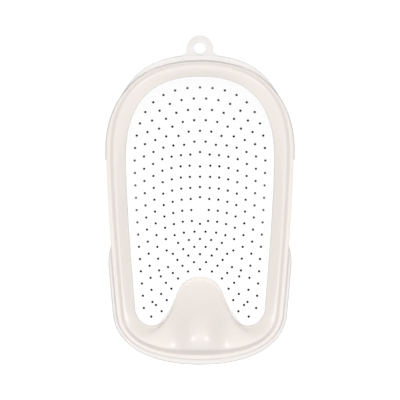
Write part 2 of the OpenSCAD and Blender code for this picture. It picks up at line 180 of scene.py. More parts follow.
# Hanging tab
TAB_R = 23.3
TAB_T = 4.0
TAB_REACH = 33.6
TAB_DROP = 1.0
TAB_ROOT = 2.0
TAB_SPREAD = 1.5
TAB_STEP = 1.2
TAB_SINK = 0.6
TAB_FILLET = 6.0
TAB_EDGE = 1.0
TAB_EDGE_MID = 0.3
TAB_HOLE_R = 10.0
TAB_HOLE_ROUND = 1.5
TAB_HOLE_ROUND_DEEP = 1.9
TAB_HOLE_FLARE = 2.0

# Screws, their bosses and the foot pads
REST_GAP = 0.4
SCREW_R = 2.0
SCREW_HEAD_R = 4.0
SCREW_HEAD_H = 2.4
SCREW_IN = 12.5
SCREW_GAP = 0.2
THREAD_GAP = 0.05
THREAD_ROOT = 0.35
THREAD_HALF = 0.35
THREAD_PITCH = 1.4
THREAD_START = 1.0
THREAD_END = 1.2
TIP_GAP = 0.5
TIP_IN = 0.4
TIP_H = 0.8
TIP_R = 0.9
SLOT_HALF = (2.1, 0.42)
SLOT_DEEP = 1.3
SLOT_TURN = 0.35
BOSS_R = 5.0
BOSS_H = 9.0
BOSS_BREAK = 0.4
PAD_R = 9.0
PAD_T = 2.0
PAD_BREAK = 0.3
STEM_R = 3.0
STEM_GAP = 0.1
STEM_BORE_H = 8.0
OVERCUT = 1.0

# Where the pairs of screws and pads lie: a curve of the rim and the share of it
SCREW_SPOTS = {"head": (0, 0.20), "shoulder": (1, 0.0), "side": (1, 0.65), "foot": (2, 0.70)}
PAD_SPOTS = {"front": (2, 0.30), "rear": (0, 0.52)}

# Profiles as (radius, height): the pad's sole, its lower edge beyond PAD_R, the snap head beyond
# STEM_R, and the domed screw head with radii as shares of SCREW_HEAD_R
PAD_SOLE = [(0, 0.35), (2.6, 0.35), (3.0, 0.0)]
PAD_RIM = [(-1.2, 0), (-0.4, 0.25), (0, 0.9)]
SNAP_HEAD = [(0.9, 0), (1.2, 0.3), (0.4, 1.4), (-0.6, 1.8)]
SCREW_DOME = [(0, 0), (0.45, 0.05), (0.75, 0.25), (0.93, 0.7), (1, 1.3)]
SLOT_FACES = [[3, 2, 1, 0], [4, 5, 6, 7], [0, 1, 5, 4], [1, 2, 6, 5], [2, 3, 7, 6], [3, 0, 4, 7]]

# Places along the length, and the cylinder and the torus that the rim and the seat lie on
BASE_FOOT_Y = -LENGTH / 2
TAB_Y = LENGTH / 2 - TAB_R
RIM_HEAD_Y = LENGTH / 2 - TAB_REACH - HEAD_LEDGE
RIM_FOOT_Y = BASE_FOOT_Y + FOOT_LEDGE
SHOULDER_Y = RIM_HEAD_Y - RIM_SHOULDER
CORNER_Y = RIM_FOOT_Y + RIM_CORNER
PANEL_HEAD_Y = RIM_HEAD_Y - HEAD_BAND
LOBE_Y = RIM_FOOT_Y + FOOT_BAND
NOTCH_Y = LOBE_Y + NOTCH_DEPTH
POMMEL_Y = RIM_FOOT_Y + POMMEL_IN
RIM_RUN = RIM_HEAD_Y - RIM_FOOT_Y
RIM_LIFT = RIM_HEAD_Z - RIM_FOOT_Z
RIM_RADIUS = (RIM_RUN ** 2 + RIM_LIFT ** 2) / (2 * RIM_LIFT)
SEAT_Y = BASE_FOOT_Y + SEAT_LOW_Y
SEAT_AXIS_Z = SEAT_LOW_Z + SEAT_RADIUS
SEAT_MAJOR = SEAT_RADIUS - HOLLOW_RADIUS
TAB_TOP_Z = RIM_HEAD_Z - LIP_DROP - REST_GAP - TAB_DROP
GROOVE_T = LEDGE_T + 2 * GROOVE_GAP
GROOVE_W = LEDGE_W + GROOVE_END_GAP
SCREW_LOW = -BOSS_H - SCREW_HEAD_H

# -------- fineness of the meshes

FRAME_FINE = 6
CORE_FINE = 2
PANEL_FINE = 5
RING_FINE = 3
BASE_FINE = 5
BORE_SIDES = 32
SCREW_SIDES = 40
PAD_SIDES = 64
TAB_HOLE_SIDES = 96
WALL_STEPS = 8
ROUND_STEPS = 7
ROOF_STEPS = 3
FLARE_STEPS = 6
FILLET_STEPS = 8
TAB_STEPS = 24
ARCH_STEPS = 48
SHARP_ANGLE = 38
LIP_ROUND_STEPS = 5
LIP_SHARES = (0.25, 0.5, 0.75, 1.0)
ROLL_SHARES = (0.06, 0.12, 0.19, 0.27, 0.36, 0.45, 0.54, 0.63, 0.72, 0.80, 0.87, 0.94, 1.0)
SLOPE_STEPS = 12
EDGE_SHARES = (0.82, 0.65, 0.49, 0.35, 0.24, 0.15, 0.10, 0.0625, 0.031, 0.01, 0.0)

# Rows of the frame's upper face that its underside and the core of its sockets follow
UNDER_FROM_EDGE = 7
UNDER_TO = 16
UNDER_LIP = 14
CORE_FROM = 13
CORE_TO_EDGE = 8

# The panel's rows: (inset, lift) along its edge, and (distance from a hole's rim, lift) round each hole
EDGE_ROWS = [(0.0, -0.6), (0.1, -0.3), (0.3, -0.1), (0.7, 0.0), (1.5, 0.12), (2.4, 0.2), (3.4, 0.2),
             (4.3, 0.12), (5.2, 0.03), (6.2, 0.0), (8.0, 0.0)]
HOLE_ROWS = [(0.0, -0.4), (0.08, -0.18), (0.22, -0.05), (0.42, 0.0), (1.2, 0.0)]
HOLE_SIDES = 20
HOLE_TRIM = 0.97
GRID_STEP = 3.2
GRID_ROW = 0.866
GRID_HALF = (140, 224)
GRID_INSET = 9.6
GRID_CLEAR = 2.2
LOW_ROW = 1.2
LOW_GROW = 0.6
LOW_CLEAR = 1.6
SLICE = 4000
SMALLEST_AREA = 1e-5


# -------- surfaces and outlines

def smooth(v):
    """A rise from 0 to 1 with soft ends."""
    v = np.clip(v, 0, 1)
    return v * v * (3 - 2 * v)


def rim_z(y):
    """Height of the rim, which lies on a cylinder and is level at the foot end."""
    return RIM_FOOT_Z + RIM_RADIUS - np.sqrt(RIM_RADIUS ** 2 - np.maximum(y - RIM_FOOT_Y, 0) ** 2)


def seat_z(x, y, deep=0.0):
    """Height of the soft panel's upper face, or of the face that lies `deep` below it."""
    across = SEAT_MAJOR + np.sqrt((HOLLOW_RADIUS + deep) ** 2 - x * x)
    return SEAT_AXIS_Z - np.sqrt(across ** 2 - (y - SEAT_Y) ** 2)


def pommel_z(x, y):
    """Height that the pommel adds: a long rise from the notch and a steep fall to the foot end."""
    along = np.where(y > POMMEL_Y, (y - POMMEL_Y) / POMMEL_BACK, (POMMEL_Y - y) / POMMEL_FRONT)
    return POMMEL_H * np.exp(-POMMEL_NARROW * np.abs(x / POMMEL_W) ** POMMEL_FLAT - along ** POMMEL_FLAT)


# Outlines of the right half as cubic curves from the head to the foot: end, two handles, end
RIM_HALF = RIM_WIDTH / 2
RIM_FOOT_HALF = RIM_FOOT_WIDTH / 2
RIM_CURVES = np.array([
    [[0, RIM_HEAD_Y], [0.655 * RIM_HALF, RIM_HEAD_Y], [RIM_HALF, SHOULDER_Y + 92], [RIM_HALF, SHOULDER_Y]],
    [[RIM_HALF, SHOULDER_Y], [RIM_HALF, SHOULDER_Y - 88], [RIM_FOOT_HALF + 5.5, CORNER_Y + 53],
     [RIM_FOOT_HALF, CORNER_Y]],
    [[RIM_FOOT_HALF, CORNER_Y], [RIM_FOOT_HALF - 6, CORNER_Y - 58], [76, RIM_FOOT_Y], [0, RIM_FOOT_Y]],
])
PANEL_HALF = PANEL_WIDTH / 2
PANEL_FOOT_HALF = PANEL_FOOT_WIDTH / 2
NECK = [LOBE_X - 39.5, LOBE_Y + 41.3]
PANEL_SHOULDER_Y = PANEL_HEAD_Y - 144
LOBE_START_Y = LOBE_Y + 31
PANEL_CURVES = np.array([
    [[0, PANEL_HEAD_Y], [0.69 * PANEL_HALF, PANEL_HEAD_Y], [PANEL_HALF, PANEL_SHOULDER_Y + 93],
     [PANEL_HALF, PANEL_SHOULDER_Y]],
    [[PANEL_HALF, PANEL_SHOULDER_Y], [PANEL_HALF, PANEL_SHOULDER_Y - 80],
     [PANEL_FOOT_HALF + 6, LOBE_START_Y + 75], [PANEL_FOOT_HALF, LOBE_START_Y]],
    [[PANEL_FOOT_HALF, LOBE_START_Y], [PANEL_FOOT_HALF - 1.5, LOBE_START_Y - 18], [LOBE_X + 15.5, LOBE_Y],
     [LOBE_X, LOBE_Y]],
    [[LOBE_X, LOBE_Y], [LOBE_X - 28.6, LOBE_Y], [NECK[0] + 5.8, NECK[1] - 13.8], NECK],
    [NECK, [NECK[0] - 5.9, NECK[1] + 13.8], [NECK[0] - 12, NOTCH_Y], [0, NOTCH_Y]],
])
LOBE_CURVE = 2
NECK_CURVE = 3
NOSE_CURVE = 4

# Steps along each of the panel's curves, and the stretch of the rim that faces it: curve, start, end
STEPS = [14, 14, 5, 7, 9]
RIM_SHARE = [(0, 0, 1), (1, 0, 1), (2, 0, 0.33), (2, 0.33, 0.6), (2, 0.6, 1)]


def curve_at(curves, which, t):
    """Places on the curves; `which` picks the curve of each place."""
    p = curves[which]
    t = t[:, None]
    return ((1 - t) ** 3 * p[:, 0] + 3 * (1 - t) ** 2 * t * p[:, 1]
            + 3 * (1 - t) * t * t * p[:, 2] + t ** 3 * p[:, 3])


def curve_out(curves, which, t):
    """Directions square to the curves, away from the seat."""
    p = curves[which]
    t = t[:, None]
    way = ((1 - t) ** 2 * (p[:, 1] - p[:, 0]) + 2 * (1 - t) * t * (p[:, 2] - p[:, 1])
           + t * t * (p[:, 3] - p[:, 2]))
    way = way / np.linalg.norm(way, axis=1)[:, None]
    return np.stack([-way[:, 1], way[:, 0]], 1)


class Stations:
    """Places round the right half, from the middle of the head to the middle of the foot."""

    def __init__(self, finer):
        panel, pt, rim, rt = [], [], [], []
        for s, (steps, (curve, start, end)) in enumerate(zip(STEPS, RIM_SHARE)):
            n = steps * finer
            last = 1 if s == len(STEPS) - 1 else 0
            for i in range(n + last):
                t = i / n
                panel.append(s)
                pt.append(t)
                rim.append(curve)
                rt.append(start + t * (end - start))
        self.panel = np.array(panel)
        self.pt = np.array(pt)
        rim, rt = np.array(rim), np.array(rt)
        self.rim_p = curve_at(RIM_CURVES, rim, rt)
        self.rim_n = curve_out(RIM_CURVES, rim, rt)
        self.panel_p = curve_at(PANEL_CURVES, self.panel, self.pt)
        self.panel_n = curve_out(PANEL_CURVES, self.panel, self.pt)

    def rim_at(self, out=0.0):
        return self.rim_p + np.asarray(out).reshape(-1, 1) * self.rim_n

    def panel_at(self, out=0.0):
        return self.panel_p + np.asarray(out).reshape(-1, 1) * self.panel_n


def ledge_at(y):
    """Width of the base's ledge outside the rim."""
    head = smooth((y - SHOULDER_Y - HEAD_LEDGE_FROM * RIM_SHOULDER) / (HEAD_LEDGE_RUN * RIM_SHOULDER))
    corner = smooth((SHOULDER_Y - CORNER_LEDGE_BACK - y) / CORNER_LEDGE_RUN)
    foot = np.clip((RIM_FOOT_Y + FOOT_LEDGE_RUN - y) / FOOT_LEDGE_RUN, 0, 1) ** 2
    return (SIDE_LEDGE
            + (HEAD_LEDGE - SIDE_LEDGE) * head
            + (CORNER_LEDGE - SIDE_LEDGE) * corner
            + (FOOT_LEDGE_SHOWN - CORNER_LEDGE) * foot)


def foot_share(y):
    """How far a place belongs to the steep foot end, from 0 to 1."""
    return smooth((RIM_FOOT_Y + FOOT_RISE_IN - y) / FOOT_RISE_RUN)


def head_share(y):
    """How far a place belongs to the head end, from 0 to 1."""
    return smooth((y - SHOULDER_Y) / RIM_SHOULDER)


def spot_at(curve, share, out):
    """A place on one of the rim's curves, moved outward by `out`."""
    which, share = np.array([curve]), np.array([share])
    return (curve_at(RIM_CURVES, which, share) + out * curve_out(RIM_CURVES, which, share))[0]


# -------- meshes

def in_scene(name, data):
    """A new object with its data, linked to the scene."""
    obj = bpy.data.objects.new(name, data)
    bpy.context.scene.collection.objects.link(obj)
    return obj


def new_object(name, points, faces):
    """A mesh object from points in millimetres."""
    mesh = bpy.data.meshes.new(name)
    mesh.from_pydata((np.asarray(points, float) * MM).tolist(), [], [list(f) for f in faces])
    mesh.validate()
    mesh.update()
    return in_scene(name, mesh)


def discard(obj):
    """Removes an object and its mesh."""
    mesh = obj.data
    bpy.data.objects.remove(obj)
    bpy.data.meshes.remove(mesh)


def solid(name, points, faces):
    """A closed mesh object, with all its faces turned outward."""
    obj = new_object(name, points, faces)
    bm = bmesh.new()
    bm.from_mesh(obj.data)
    bmesh.ops.recalc_face_normals(bm, faces=bm.faces)
    bm.to_mesh(obj.data)
    bm.free()
    return obj


def bands(loops):
    """Faces between each closed loop of point numbers and the next."""
    faces = []
    for a, b in zip(loops, loops[1:]):
        for k in range(len(a)):
            j = (k + 1) % len(a)
            faces.append([int(a[k]), int(a[j]), int(b[j]), int(b[k])])
    return faces


def swept_ring(name, half):
    """Closed sections of the right half, shaped (stations, rows, 3), mirrored and joined in a ring."""
    left = half[-2:0:-1].copy()
    left[:, :, 0] *= -1
    around = np.concatenate([half, left])
    numbers = np.arange(around[:, :, 0].size).reshape(around.shape[:2])
    return new_object(name, around.reshape(-1, 3), bands([*numbers, numbers[0]]))


def prism(name, outline, low, high, axis):
    """A closed outline in the plane square to an axis, drawn out from low to high along it."""
    n = len(outline)
    if axis == "x":
        points = [(x, y, z) for x in (low, high) for y, z in outline]
    else:
        points = [(x, y, z) for y in (low, high) for x, z in outline]
    near, far = range(n), range(n, 2 * n)
    return solid(name, points, [near[::-1], far] + bands([near, far]))


def lathe(name, profile, place=(0, 0, 0), sides=48):
    """A profile of (radius, height) turned about the Z direction; it starts and ends on the axis."""
    points, rows, faces = [], [], []
    px, py, pz = place
    for r, z in profile:
        first = len(points)
        if r < 1e-6:
            rows.append([first] * sides)
            points.append((px, py, pz + z))
            continue
        rows.append([first + k for k in range(sides)])
        for k in range(sides):
            a = 2 * math.pi * k / sides
            points.append((px + r * math.cos(a), py + r * math.sin(a), pz + z))
    for face in bands(rows):
        face = list(dict.fromkeys(face))
        if len(face) > 2:
            faces.append(face)
    return solid(name, points, faces)


def cylinder(name, radius, low, high, place, sides=48):
    """A closed cylinder about the Z direction."""
    return lathe(name, [(0, low), (radius, low), (radius, high), (0, high)], place, sides)


def combine(target, tool, operation):
    """Joins, cuts or keeps the overlap of two closed meshes, and removes the tool."""
    modifier = target.modifiers.new("combine", "BOOLEAN")
    modifier.operation = operation
    modifier.solver = "MANIFOLD"
    modifier.object = tool
    bpy.context.view_layer.update()
    graph = bpy.context.evaluated_depsgraph_get()
    mesh = bpy.data.meshes.new_from_object(target.evaluated_get(graph))
    target.modifiers.clear()
    old = target.data
    target.data = mesh
    bpy.data.meshes.remove(old)
    discard(tool)


def join_meshes(name, objects):
    """One object from several separate closed meshes."""
    points, faces = [], []
    for obj in objects:
        first = len(points)
        points += [tuple(v.co / MM) for v in obj.data.vertices]
        faces += [[first + k for k in p.vertices] for p in obj.data.polygons]
        discard(obj)
    return new_object(name, points, faces)


def finish_piece(obj, material, nodes):
    """Smooth shading with sharp corners kept, the material, and the piece's place in the frame."""
    for p in obj.data.polygons:
        p.use_smooth = True
    obj.data.set_sharp_from_angle(angle=math.radians(SHARP_ANGLE))
    obj.data.materials.clear()
    obj.data.materials.append(material)
    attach(obj, "root")
    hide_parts(*nodes)


# -------- seat frame

def quarter(radius, steps):
    """A quarter round from the side (0, -radius) to the top (radius, 0)."""
    return [(radius - radius * math.cos(a), radius * math.sin(a) - radius)
            for a in np.linspace(0, math.pi / 2, steps + 1)]


def frame_rows(st):
    """Upper face of the frame, from the edge of the lip to the edge of the panel."""
    x, y = st.rim_p[:, 0], st.rim_p[:, 1]
    at_head = head_share(y)
    at_nose = foot_share(y) * np.exp(-(x / NOSE_HALF) ** 2)
    crest = CREST_IN + (CREST_IN_HEAD - CREST_IN) * at_head + CREST_NOSE_MORE * at_nose
    rise = ROLL_H + FOOT_RISE * foot_share(y)
    # At the head the roll starts at the very edge, elsewhere behind a level lip
    lip = LIP_SIDE + (LIP_HEAD - LIP_SIDE) * at_head + LIP_NOSE_MORE * at_nose
    rows = []

    def outer(inset, lift):
        p = st.rim_at(-np.broadcast_to(inset, y.shape))
        rows.append(np.column_stack([p, rim_z(p[:, 1]) + lift]))

    for inset, lift in quarter(LIP_ROUND, LIP_ROUND_STEPS):
        outer(inset, lift)
    for u in LIP_SHARES:
        crown = LIP_CROWN * math.sin(math.pi * u) * (1 - at_head)
        outer(LIP_ROUND + u * (lip - LIP_ROUND), crown - TROUGH * u * at_nose)
    for u in ROLL_SHARES:
        swell = 0.5 - 0.5 * math.cos(math.pi * u)
        climb = swell + at_head * (math.sin(math.pi / 2 * u) - swell)
        outer(lip + u * (crest - lip), rise * climb - TROUGH * (1 - climb) * at_nose)
    top = rows[-1].copy()
    edge = st.panel_p
    low = seat_z(edge[:, 0], edge[:, 1]) + EDGE_STEP
    # The last stretch runs square to the panel's edge, and is level at the pommel's nose
    at_notch = np.where(st.panel == NOSE_CURVE, smooth(st.pt), 0.0)
    inner = EDGE_RUN + EDGE_RUN_NOSE * at_notch
    near = st.panel_at(inner)
    level = NOSE_LIP * at_notch
    gap = np.linalg.norm(near - top[:, :2], axis=1)
    run = gap + inner - level
    drop = top[:, 2] - low
    bend = SLOPE_BEND + SLOPE_BEND_NOSE * at_nose

    def fall_to(share):
        return top[:, 2] - drop * np.minimum(1, share) ** bend

    for u in np.linspace(0, 1, SLOPE_STEPS)[1:]:
        p = top[:, :2] + (near - top[:, :2]) * u
        rows.append(np.column_stack([p, fall_to(gap * u / run)]))
    for share in EDGE_SHARES:
        e = inner * share
        p = st.panel_at(e)
        fall = EDGE_ROUND - np.sqrt(EDGE_ROUND ** 2 - np.maximum(EDGE_ROUND - e, 0) ** 2)
        rows.append(np.column_stack([p, fall_to((run + level - e) / run) - fall]))
    rows = np.stack(rows, 1)
    rows[:, :, 2] += pommel_z(rows[:, :, 0], rows[:, :, 1])
    return rows


def below(rows, picked, deep):
    """Places `deep` below the picked rows, square to the section there."""
    out = []
    for i in picked:
        a, b = rows[:, i - 1], rows[:, i + 1]
        flat = np.linalg.norm(b[:, :2] - a[:, :2], axis=1)
        way = (b[:, :2] - a[:, :2]) / flat[:, None]
        climb = b[:, 2] - a[:, 2]
        size = np.hypot(flat, climb)
        slope_x, slope_z = flat / size, climb / size
        out.append(np.column_stack([rows[:, i, :2] + deep * slope_z[:, None] * way,
                                    rows[:, i, 2] - deep * slope_x]))
    return np.stack(out, 1)


def at(p, z):
    """One row of places, shaped to join the rows of a section."""
    return np.column_stack([p, z])[:, None]


def screw_places():
    """The four pairs of screws, where the frame meets the base."""
    places = {}
    for name, (curve, share) in SCREW_SPOTS.items():
        x, y = spot_at(curve, share, -SCREW_IN)
        z = float(rim_z(np.array([y]))[0]) - LIP_DROP + JOINT_RISE
        places[name] = [(-x, y, z), (x, y, z)]
    return places


SCREWS = screw_places()
ALL_SCREWS = [p for pair in SCREWS.values() for p in pair]


def frame_section(st):
    """The frame's closed section: skirt, upper face, ledge for the panel, and underside."""
    rows = frame_rows(st)
    lip_z = rim_z(st.rim_p[:, 1])
    low_z = lip_z - LIP_DROP
    skirt = st.rim_at(-FRAME_WALL)

    def ledge(out, deep):
        p = st.panel_at(out)
        return at(p, seat_z(p[:, 0], p[:, 1], deep))

    ledge_top = PANEL_T + GROOVE_GAP
    ledge_low = ledge_top + LEDGE_T
    return np.concatenate([
        at(st.rim_at(-FRAME_WALL + FRAME_BREAK), low_z),
        at(st.rim_at(-FRAME_BREAK), low_z),
        at(st.rim_p, low_z + FRAME_BREAK),
        rows,
        ledge(0, ledge_top),
        ledge(-LEDGE_W + FRAME_BREAK, ledge_top),
        ledge(-LEDGE_W, ledge_top + FRAME_BREAK),
        ledge(-LEDGE_W, ledge_low - FRAME_BREAK),
        ledge(-LEDGE_W + FRAME_BREAK, ledge_low),
        ledge(FRAME_WALL, ledge_low),
        below(rows, range(rows.shape[1] - UNDER_FROM_EDGE, UNDER_TO, -2), FRAME_WALL),
        below(rows, [UNDER_LIP], FRAME_WALL),
        at(skirt, lip_z - FRAME_WALL),
        at(skirt, low_z + FRAME_BREAK),
    ], 1)


def build_frame():
    """The frame's shell with its screw sockets, which end inside the shell's wall."""
    shell = swept_ring("frame_shell", frame_section(Stations(FRAME_FINE)))
    rows = frame_rows(Stations(CORE_FINE))
    roof = below(rows, range(CORE_FROM, rows.shape[1] - CORE_TO_EDGE, 2), FRAME_WALL / 2)
    floor_z = roof[:, -1, 2] - SOCKET_H
    core = swept_ring("core", np.concatenate([at(roof[:, 0, :2], floor_z), roof,
                                              at(roof[:, -1, :2], floor_z)], 1))
    sockets = join_meshes("sockets", [cylinder("socket", SOCKET_R, 0, SOCKET_H, p) for p in ALL_SCREWS])
    combine(sockets, core, "INTERSECT")
    combine(shell, sockets, "UNION")
    pilots = join_meshes("pilots", [cylinder("pilot", SCREW_R, -OVERCUT, PILOT_DEPTH, p, BORE_SIDES)
                                    for p in ALL_SCREWS])
    combine(shell, pilots, "DIFFERENCE")
    return shell


# -------- soft panel

def ring_weight(st):
    """How far apart the rings of holes lie at each place, as a share of RING_STEP."""
    out_y = np.maximum(0, st.panel_n[:, 1])
    weight = np.where(st.panel < LOBE_CURVE, 1 + (HEAD_STRETCH - 1) * out_y, 1.0)
    weight = np.where(st.panel == NECK_CURVE, 1 + (NOTCH_SQUEEZE - 1) * st.pt, weight)
    return np.where(st.panel == NOSE_CURVE, NOTCH_SQUEEZE, weight)


def hole_places():
    """Drain holes in rings that follow the panel's edge; every second ring starts half a pitch on."""
    st = Stations(RING_FINE)
    weight = ring_weight(st)
    edge = np.concatenate([st.panel_p, st.panel_p * [-1, 1]])
    edge_weight = np.concatenate([weight, weight])
    places = []
    for index in range(1, int(PANEL_HALF // RING_STEP) + 1):
        inset = index * RING_STEP
        line = st.panel_at(-inset * weight)
        away = np.linalg.norm(line[:, None] - edge[None], axis=2) - inset * edge_weight[None]
        line = line[(line[:, 0] > -0.01) & (away.min(1) > -RING_CLEAR)]
        runs = np.concatenate([[0], np.cumsum(np.linalg.norm(np.diff(line, axis=0), axis=1))])
        pitch = HOLE_PITCH - (index - 1) * PITCH_DROP
        count = max(1, int(math.floor(runs[-1] / pitch + 0.5)))
        shift = 0.5 if index % 2 == 0 else 0
        for i in range(count if shift else count + 1):
            run = (i + shift) * runs[-1] / count
            x, y = np.interp(run, runs, line[:, 0]), np.interp(run, runs, line[:, 1])
            if x < MIDDLE_HALF:
                places.append((0.0, y))
            else:
                places += [(x, y), (-x, y)]
    return np.array(places)


def seat_normal(x, y):
    """Unit direction straight down through the sheet, away from the seat's hollow side."""
    h = 0.01
    gx = (seat_z(x + h, y) - seat_z(x - h, y)) / (2 * h)
    gy = (seat_z(x, y + h) - seat_z(x, y - h)) / (2 * h)
    n = np.column_stack([gx, gy, -np.ones_like(gx)])
    return n / np.linalg.norm(n, axis=1)[:, None]


def inside_outline(points, outline):
    """Which points of the plan lie inside a closed outline."""
    x, y = points[:, 0][:, None], points[:, 1][:, None]
    ax, ay = outline[:, 0][None], outline[:, 1][None]
    bx, by = np.roll(outline[:, 0], -1)[None], np.roll(outline[:, 1], -1)[None]
    rise = np.where(by == ay, 1e-9, by - ay)
    crosses = ((ay > y) != (by > y)) & (x < (bx - ax) * (y - ay) / rise + ax)
    return crosses.sum(1) % 2 == 1


def clear_of(points, holes, radius):
    """Which points of the plan lie further than a radius from every hole's middle."""
    return np.linalg.norm(points[:, None] - holes[None], axis=2).min(1) > radius


def sheet_faces(points, outline, holes):
    """Triangles between points of the plan, without those outside the outline or in a hole."""
    result = delaunay_2d_cdt([Vector((float(p[0]), float(p[1]))) for p in points], [], [], 0, 1e-6)
    assert len(result[0]) == len(points)
    faces = np.array(result[2])
    middle = points[faces].mean(1)
    keep = inside_outline(middle, outline)
    for start in range(0, len(middle), SLICE):
        part = slice(start, start + SLICE)
        keep[part] &= clear_of(middle[part], holes, HOLE_R * HOLE_TRIM)
    area = np.cross(points[faces[:, 1]] - points[faces[:, 0]], points[faces[:, 2]] - points[faces[:, 0]])
    keep &= np.abs(area) > SMALLEST_AREA
    faces = faces[keep]
    flip = area[keep] < 0
    faces[flip] = faces[flip][:, ::-1]
    return faces


def whole_loop(half):
    """The right half of an outline and its mirror image, as one closed loop."""
    return np.concatenate([half, half[-2:0:-1] * [-1, 1]])


def plan_grid():
    """An even grid over the plan, with every second row shifted."""
    half_x, half_y = GRID_HALF
    gx, gy = np.meshgrid(np.arange(-half_x, half_x + 1, GRID_STEP),
                         np.arange(-half_y, half_y + 1, GRID_STEP * GRID_ROW))
    gx = gx + (np.arange(gx.shape[0]) % 2 * GRID_STEP / 2)[:, None]
    return np.column_stack([gx.ravel(), gy.ravel()])


def build_panel():
    """A sheet with rounded holes, a low bead along its edge, and a lip that grips the frame's ledge."""
    st = Stations(PANEL_FINE)
    holes = hole_places()
    turn = 2 * np.pi * np.arange(HOLE_SIDES) / HOLE_SIDES
    ring = np.column_stack([np.cos(turn), np.sin(turn)])
    lip_inset = GROOVE_W + GRIP_T

    def loop_at(inset):
        return whole_loop(st.panel_at(-inset))

    # Upper face: rows along the edge, rounded hole rims and an even grid between them
    points, lifts = [], []
    for inset, lift in EDGE_ROWS:
        loop = loop_at(inset + PANEL_GAP)
        points.append(loop)
        lifts.append(np.full(len(loop), lift))
    n_loop = len(points[0])
    hole_first = n_loop * len(EDGE_ROWS)
    for away, lift in HOLE_ROWS:
        for h in holes:
            points.append(h + ring * (HOLE_R + away))
            lifts.append(np.full(HOLE_SIDES, lift))
    grid = plan_grid()
    grid = grid[inside_outline(grid, loop_at(GRID_INSET)) & clear_of(grid, holes, HOLE_R + GRID_CLEAR)]
    points.append(grid)
    lifts.append(np.zeros(len(grid)))
    plan = np.concatenate(points)
    lift = np.concatenate(lifts)
    top_faces = sheet_faces(plan, points[0], holes)
    normal = seat_normal(plan[:, 0], plan[:, 1])
    top = np.column_stack([plan, seat_z(plan[:, 0], plan[:, 1])])
    top[hole_first:] -= normal[hole_first:] * lift[hole_first:, None]
    top[:hole_first, 2] += lift[:hole_first]

    # Lower face inside the gripping lip, with the same holes
    rims = plan[hole_first:hole_first + len(holes) * HOLE_SIDES]
    middles = np.repeat(holes, HOLE_SIDES, axis=0)
    keep = inside_outline(grid, loop_at(lip_inset + 2 * LOW_ROW)) & clear_of(grid, holes, HOLE_R + LOW_CLEAR)
    low_edge = loop_at(lip_inset)
    low_first = len(low_edge) * 2
    low_plan = np.concatenate([low_edge, loop_at(lip_inset + LOW_ROW), rims,
                               middles + (rims - middles) * ((HOLE_R + LOW_GROW) / HOLE_R), grid[keep]])
    low_faces = sheet_faces(low_plan, low_edge, holes)
    low = np.column_stack([low_plan, seat_z(low_plan[:, 0], low_plan[:, 1], PANEL_T)])

    all_points = [top, low]
    offset = len(top)
    faces = [list(f) for f in top_faces]
    faces += [[offset + f[0], offset + f[2], offset + f[1]] for f in low_faces]
    low_first += offset
    for h in range(len(holes)):
        for k in range(HOLE_SIDES):
            this = h * HOLE_SIDES + k
            after = h * HOLE_SIDES + (k + 1) % HOLE_SIDES
            faces.append([hole_first + this, low_first + this, low_first + after, hole_first + after])

    # The lip's section: down the edge, round the groove, and back up inside
    groove_z = PANEL_T + GROOVE_T
    lip_z = groove_z + GRIP_T
    lip = [(PANEL_GAP, PANEL_T), (GROOVE_W, PANEL_T), (GROOVE_W, groove_z), (PANEL_GAP, groove_z),
           (PANEL_GAP, lip_z - GRIP_BREAK), (PANEL_GAP + GRIP_CORNER, lip_z - GRIP_CORNER),
           (PANEL_GAP + GRIP_BREAK, lip_z), (lip_inset - GRIP_BREAK, lip_z),
           (lip_inset - GRIP_CORNER, lip_z - GRIP_CORNER), (lip_inset, lip_z - GRIP_BREAK)]
    first = offset + len(low)
    loops = [np.arange(n_loop)]
    for k, (inset, deep) in enumerate(lip):
        loop = loop_at(inset)
        all_points.append(np.column_stack([loop, seat_z(loop[:, 0], loop[:, 1], deep)]))
        loops.append(first + k * n_loop + np.arange(n_loop))
    loops.append(offset + np.arange(n_loop))
    return solid("panel_sheet", np.concatenate(all_points), faces + bands(loops))


# -------- base

def rounded_outline(points, reach, steps=10):
    """A closed outline whose corners are rounded from `reach` before them to `reach` after them."""
    out = []
    n = len(points)
    for i in range(n):
        p = np.array(points[i], float)
        if reach[i] == 0:
            out.append(tuple(p))
            continue
        before, after = np.array(points[i - 1], float) - p, np.array(points[(i + 1) % n], float) - p
        a = p + reach[i] * before / np.linalg.norm(before)
        b = p + reach[i] * after / np.linalg.norm(after)
        for t in np.linspace(0, 1, steps + 1):
            out.append(tuple((1 - t) ** 2 * a + 2 * t * (1 - t) * p + t * t * b))
    return out


